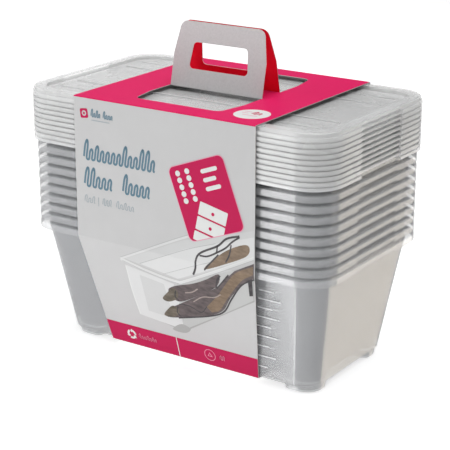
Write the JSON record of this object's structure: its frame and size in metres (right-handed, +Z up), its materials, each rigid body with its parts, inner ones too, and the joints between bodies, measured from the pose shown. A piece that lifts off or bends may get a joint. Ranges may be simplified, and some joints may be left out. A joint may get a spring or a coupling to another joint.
{
  "type": "shoe box multipack",
  "caption": "Nested translucent shoe box tubs with a stack of matching lids on top, held by a card sleeve with a folding carry handle.",
  "frame": {"origin": "on the floor, under the middle of the pack", "axes": "+X along the long side of the boxes, -Y towards the printed front of the sleeve, +Z up"},
  "size_m": [0.345, 0.2058, 0.3225],
  "materials": {
    "tub_plastic": "semi-gloss translucent polypropylene",
    "lid_plastic": "satin translucent polypropylene",
    "printed_card": "satin coated card, light grey print",
    "pink_card": "satin coated card, pink print"
  },
  "bodies": {
    "base_tub": {"tub_01": "tub_plastic"},
    "nested_tub_02": {"tub_02": "tub_plastic"},
    "nested_tub_03": {"tub_03": "tub_plastic"},
    "nested_tub_04": {"tub_04": "tub_plastic"},
    "nested_tub_05": {"tub_05": "tub_plastic"},
    "nested_tub_06": {"tub_06": "tub_plastic"},
    "nested_tub_07": {"tub_07": "tub_plastic"},
    "nested_tub_08": {"tub_08": "tub_plastic"},
    "nested_tub_09": {"tub_09": "tub_plastic"},
    "nested_tub_10": {"tub_10": "tub_plastic"},
    "stacked_lid_01": {"lid_01": "lid_plastic"},
    "stacked_lid_02": {"lid_02": "lid_plastic"},
    "stacked_lid_03": {"lid_03": "lid_plastic"},
    "stacked_lid_04": {"lid_04": "lid_plastic"},
    "stacked_lid_05": {"lid_05": "lid_plastic"},
    "stacked_lid_06": {"lid_06": "lid_plastic"},
    "stacked_lid_07": {"lid_07": "lid_plastic"},
    "stacked_lid_08": {"lid_08": "lid_plastic"},
    "stacked_lid_09": {"lid_09": "lid_plastic"},
    "stacked_lid_10": {"lid_10": "lid_plastic"},
    "sleeve_wrap": {"sleeve_front_upper": "printed_card", "sleeve_front_lower": "printed_card", "sleeve_rear_upper": "printed_card", "sleeve_rear_lower": "printed_card", "sleeve_seam_tab": "printed_card", "sleeve_bottom": "printed_card"},
    "sleeve_top_panel": {"sleeve_top": "pink_card"},
    "front_handle": {"handle_flap_front": "pink_card"},
    "rear_handle": {"handle_flap_rear": "pink_card"}
  },
  "joints": [
    {"name": "tub_02_lift", "type": "slide", "parent": "base_tub", "child": "nested_tub_02", "axis": [0, 0, 1], "range_m": [0, 0.12]},
    {"name": "tub_03_lift", "type": "slide", "parent": "nested_tub_02", "child": "nested_tub_03", "axis": [0, 0, 1], "range_m": [0, 0.12]},
    {"name": "tub_04_lift", "type": "slide", "parent": "nested_tub_03", "child": "nested_tub_04", "axis": [0, 0, 1], "range_m": [0, 0.12]},
    {"name": "tub_05_lift", "type": "slide", "parent": "nested_tub_04", "child": "nested_tub_05", "axis": [0, 0, 1], "range_m": [0, 0.12]},
    {"name": "tub_06_lift", "type": "slide", "parent": "nested_tub_05", "child": "nested_tub_06", "axis": [0, 0, 1], "range_m": [0, 0.12]},
    {"name": "tub_07_lift", "type": "slide", "parent": "nested_tub_06", "child": "nested_tub_07", "axis": [0, 0, 1], "range_m": [0, 0.12]},
    {"name": "tub_08_lift", "type": "slide", "parent": "nested_tub_07", "child": "nested_tub_08", "axis": [0, 0, 1], "range_m": [0, 0.12]},
    {"name": "tub_09_lift", "type": "slide", "parent": "nested_tub_08", "child": "nested_tub_09", "axis": [0, 0, 1], "range_m": [0, 0.12]},
    {"name": "tub_10_lift", "type": "slide", "parent": "nested_tub_09", "child": "nested_tub_10", "axis": [0, 0, 1], "range_m": [0, 0.12]},
    {"name": "lid_01_lift", "type": "slide", "parent": "nested_tub_10", "child": "stacked_lid_01", "axis": [0, 0, 1], "range_m": [0, 0.03]},
    {"name": "lid_02_lift", "type": "slide", "parent": "stacked_lid_01", "child": "stacked_lid_02", "axis": [0, 0, 1], "range_m": [0, 0.03]},
    {"name": "lid_03_lift", "type": "slide", "parent": "stacked_lid_02", "child": "stacked_lid_03", "axis": [0, 0, 1], "range_m": [0, 0.03]},
    {"name": "lid_04_lift", "type": "slide", "parent": "stacked_lid_03", "child": "stacked_lid_04", "axis": [0, 0, 1], "range_m": [0, 0.03]},
    {"name": "lid_05_lift", "type": "slide", "parent": "stacked_lid_04", "child": "stacked_lid_05", "axis": [0, 0, 1], "range_m": [0, 0.03]},
    {"name": "lid_06_lift", "type": "slide", "parent": "stacked_lid_05", "child": "stacked_lid_06", "axis": [0, 0, 1], "range_m": [0, 0.03]},
    {"name": "lid_07_lift", "type": "slide", "parent": "stacked_lid_06", "child": "stacked_lid_07", "axis": [0, 0, 1], "range_m": [0, 0.03]},
    {"name": "lid_08_lift", "type": "slide", "parent": "stacked_lid_07", "child": "stacked_lid_08", "axis": [0, 0, 1], "range_m": [0, 0.03]},
    {"name": "lid_09_lift", "type": "slide", "parent": "stacked_lid_08", "child": "stacked_lid_09", "axis": [0, 0, 1], "range_m": [0, 0.03]},
    {"name": "lid_10_lift", "type": "slide", "parent": "stacked_lid_09", "child": "stacked_lid_10", "axis": [0, 0, 1], "range_m": [0, 0.03]},
    {"name": "sleeve_slide", "type": "slide", "parent": "base_tub", "child": "sleeve_wrap", "axis": [1, 0, 0], "range_m": [-0.28, 0.28], "deforming": ["sleeve_bottom"]},
    {"name": "sleeve_top_slide", "type": "slide", "parent": "stacked_lid_10", "child": "sleeve_top_panel", "axis": [1, 0, 0], "range_m": [-0.28, 0.28]},
    {"name": "front_flap_fold", "type": "hinge", "parent": "sleeve_top_panel", "child": "front_handle", "pos_m": [0, -0.0155, 0.26033], "axis": [1, 0, 0], "range_deg": [0, 102]},
    {"name": "rear_flap_fold", "type": "hinge", "parent": "sleeve_top_panel", "child": "rear_handle", "pos_m": [0, 0.0155, 0.26033], "axis": [-1, 0, 0], "range_deg": [0, 102]}
  ],
  "couplings": [
    {"joint": "sleeve_top_slide", "follows": "sleeve_slide", "ratio": 1}
  ]
}
